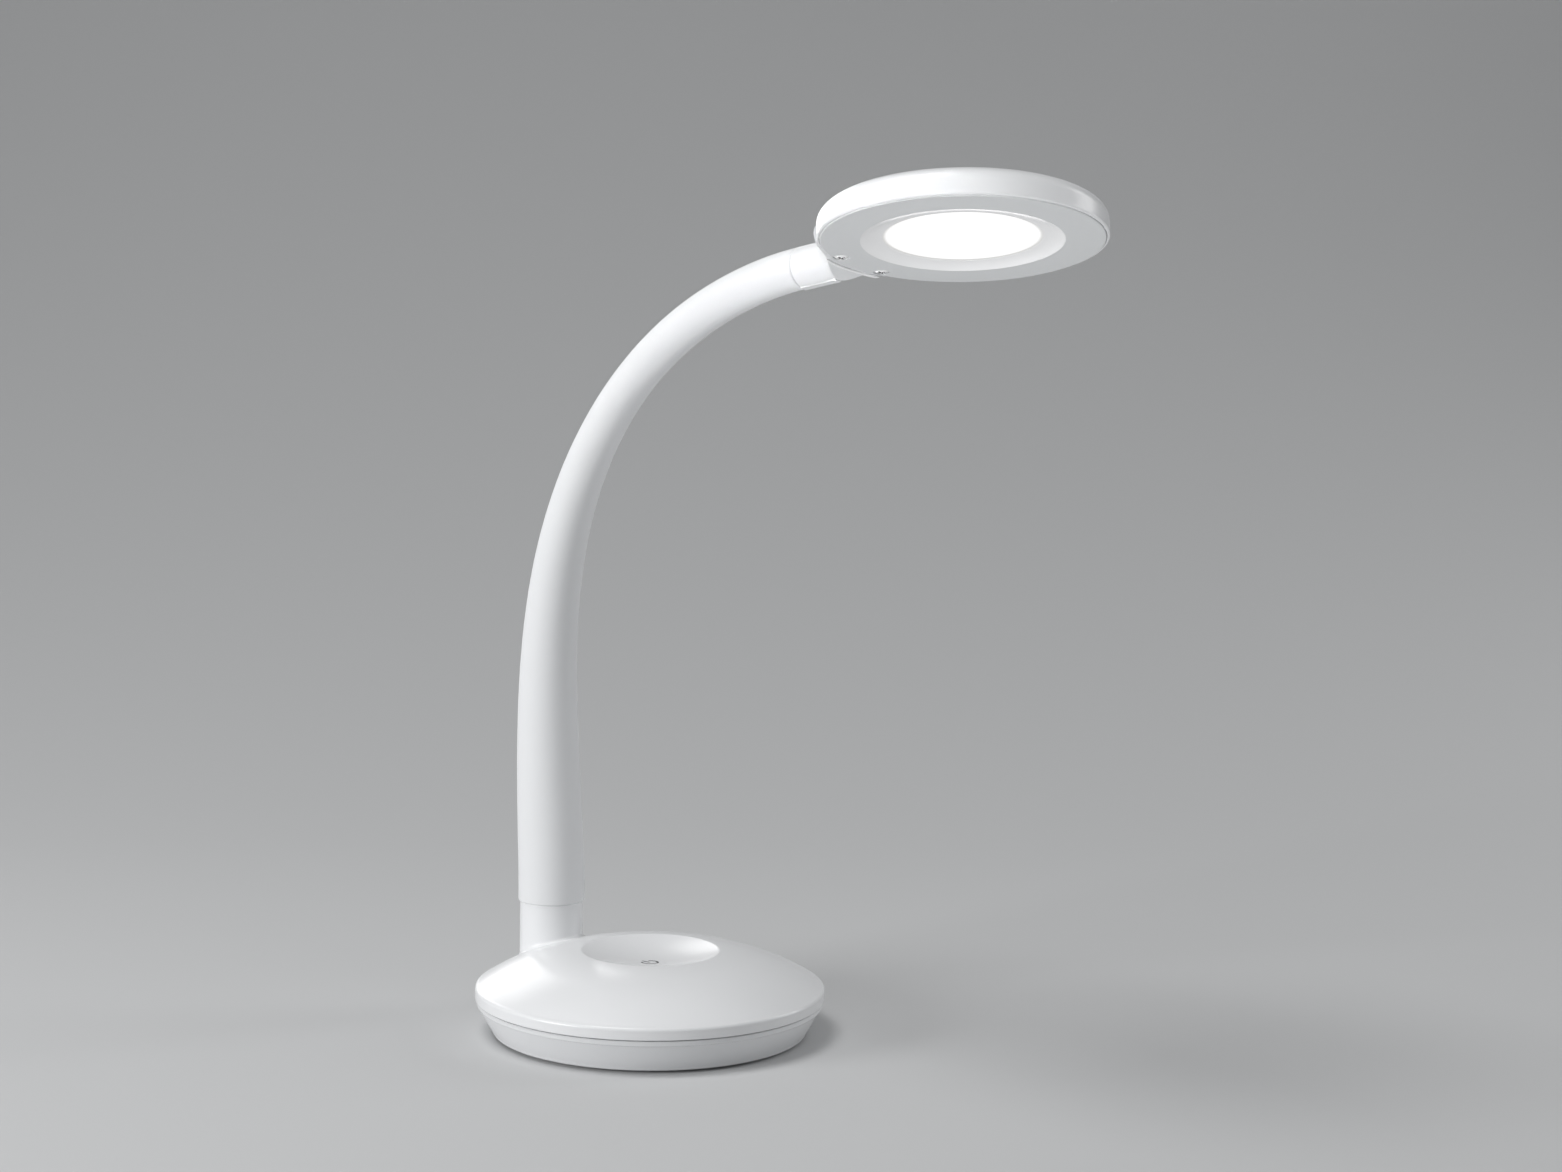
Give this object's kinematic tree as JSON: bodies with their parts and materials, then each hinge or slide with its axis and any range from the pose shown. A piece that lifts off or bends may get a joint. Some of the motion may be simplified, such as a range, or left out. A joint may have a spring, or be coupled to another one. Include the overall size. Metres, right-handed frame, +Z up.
{
  "type": "gooseneck desk lamp",
  "caption": "Desk lamp with a weighted round base, a touch dish, a tapered flexible neck and a flat round light head.",
  "frame": {"origin": "centre of the foot ring's flat underside, on the table", "axes": "+Z up, +X from the neck's socket towards the light, +Y to the left"},
  "size_m": [0.2486, 0.13, 0.3187],
  "materials": {
    "gloss_white": "gloss moulded ABS",
    "tray_white": "semi-gloss moulded ABS",
    "face_grey": "fine satin moulded ABS",
    "sleeve_white": "satin silicone",
    "opal": "opal diffuser, lit",
    "reflector_white": "matt white",
    "steel": "zinc plated",
    "bush_brass": "turned",
    "copper_foil": "bare copper",
    "aluminium": "mill finish",
    "board_green": "solder mask",
    "black_plastic": "moulded",
    "connector_white": "nylon",
    "foot_rubber": "soft",
    "gland_rubber": "soft",
    "foam_black": "conductive foam",
    "wire_white": "PVC insulation",
    "chip_yellow": "phosphor"
  },
  "bodies": {
    "base": {"base_top_cover": "gloss_white", "base_tray": "tray_white", "ballast_weight": "steel", "foot_ring": "foot_rubber", "tray_screws": "steel", "control_board": "board_green", "board_screws": "steel", "driver_coil": "black_plastic", "driver_capacitor": "black_plastic", "board_connector": "connector_white", "touch_plate": "copper_foil", "touch_foam": "foam_black", "lead_gland": "gland_rubber", "lower_ferrule": "steel", "lock_washer": "steel", "lock_nut": "steel", "base_wires": "wire_white", "neck_sleeve_root": "sleeve_white", "neck_conduit_root": "steel"},
    "link_01": {"neck_sleeve_01": "sleeve_white", "neck_conduit_01": "steel"},
    "link_02": {"neck_sleeve_02": "sleeve_white", "neck_conduit_02": "steel"},
    "link_03": {"neck_sleeve_03": "sleeve_white", "neck_conduit_03": "steel"},
    "link_04": {"neck_sleeve_04": "sleeve_white", "neck_conduit_04": "steel"},
    "link_05": {"neck_sleeve_05": "sleeve_white", "neck_conduit_05": "steel"},
    "link_06": {"neck_sleeve_06": "sleeve_white", "neck_conduit_06": "steel"},
    "link_07": {"neck_sleeve_07": "sleeve_white", "neck_conduit_07": "steel"},
    "link_08": {"neck_sleeve_08": "sleeve_white", "neck_conduit_08": "steel"},
    "link_09": {"neck_sleeve_09": "sleeve_white", "neck_conduit_09": "steel"},
    "link_10": {"neck_sleeve_10": "sleeve_white", "neck_conduit_10": "steel"},
    "link_11": {"neck_sleeve_11": "sleeve_white", "neck_conduit_11": "steel"},
    "tip": {"neck_sleeve_tip": "sleeve_white", "neck_conduit_tip": "steel", "upper_ferrule": "steel", "retaining_clip": "steel"},
    "head": {"head_housing": "gloss_white", "collar_strip": "gloss_white", "face_ring": "face_grey", "face_screws": "steel", "lens_diffuser": "opal", "light_reflector": "reflector_white", "light_board": "aluminium", "light_chips": "chip_yellow", "heat_plate": "aluminium", "plate_screws": "steel", "swivel_bush": "bush_brass", "head_wires": "wire_white"}
  },
  "joints": [
    {"name": "lower_bend", "type": "hinge", "parent": "base", "child": "link_01", "pos_m": [-0.05136, 0, 0.06259], "axis": [0, 1, 0], "range_deg": [-8, 7]},
    {"name": "side_sway", "type": "hinge", "parent": "link_01", "child": "link_02", "pos_m": [-0.05264, 0, 0.08656], "axis": [0.9987, 0, 0.0506], "range_deg": [-8, 8]},
    {"name": "lower_bend_at_03", "type": "hinge", "parent": "link_02", "child": "link_03", "pos_m": [-0.05347, 0, 0.11054], "axis": [0, 1, 0], "range_deg": [-8, 7]},
    {"name": "lower_bend_at_04", "type": "hinge", "parent": "link_03", "child": "link_04", "pos_m": [-0.0532, 0, 0.13453], "axis": [0, 1, 0], "range_deg": [-8, 7]},
    {"name": "side_sway_at_05", "type": "hinge", "parent": "link_04", "child": "link_05", "pos_m": [-0.05096, 0, 0.15842], "axis": [0.9895, 0, -0.1444], "range_deg": [-8, 8]},
    {"name": "lower_bend_at_06", "type": "hinge", "parent": "link_05", "child": "link_06", "pos_m": [-0.0459, 0, 0.18186], "axis": [0, 1, 0], "range_deg": [-8, 7]},
    {"name": "upper_bend", "type": "hinge", "parent": "link_06", "child": "link_07", "pos_m": [-0.03748, 0, 0.20431], "axis": [0, 1, 0], "range_deg": [-13, 9]},
    {"name": "side_sway_at_08", "type": "hinge", "parent": "link_07", "child": "link_08", "pos_m": [-0.02558, 0, 0.22512], "axis": [0.8241, 0, -0.5664], "range_deg": [-8, 8]},
    {"name": "upper_bend_at_09", "type": "hinge", "parent": "link_08", "child": "link_09", "pos_m": [-0.01034, 0, 0.24362], "axis": [0, 1, 0], "range_deg": [-13, 9]},
    {"name": "upper_bend_at_10", "type": "hinge", "parent": "link_09", "child": "link_10", "pos_m": [0.00788, 0, 0.2592], "axis": [0, 1, 0], "range_deg": [-13, 9]},
    {"name": "side_sway_at_11", "type": "hinge", "parent": "link_10", "child": "link_11", "pos_m": [0.02844, 0, 0.27153], "axis": [0.4431, 0, -0.8965], "range_deg": [-8, 8]},
    {"name": "upper_bend_at_12", "type": "hinge", "parent": "link_11", "child": "tip", "pos_m": [0.05065, 0, 0.28057], "axis": [0, 1, 0], "range_deg": [-13, 9]},
    {"name": "head_twist", "type": "hinge", "parent": "tip", "child": "head", "pos_m": [0.06679, 0, 0.28482], "axis": [0.9799, 0, 0.1994], "range_deg": [-27, 53]}
  ],
  "couplings": [
    {"joint": "lower_bend_at_03", "follows": "lower_bend", "ratio": 1},
    {"joint": "lower_bend_at_04", "follows": "lower_bend", "ratio": 1},
    {"joint": "side_sway_at_05", "follows": "side_sway", "ratio": 1},
    {"joint": "lower_bend_at_06", "follows": "lower_bend", "ratio": 1},
    {"joint": "side_sway_at_08", "follows": "side_sway", "ratio": 1},
    {"joint": "upper_bend_at_09", "follows": "upper_bend", "ratio": 1},
    {"joint": "upper_bend_at_10", "follows": "upper_bend", "ratio": 1},
    {"joint": "side_sway_at_11", "follows": "side_sway", "ratio": 1},
    {"joint": "upper_bend_at_12", "follows": "upper_bend", "ratio": 1}
  ]
}
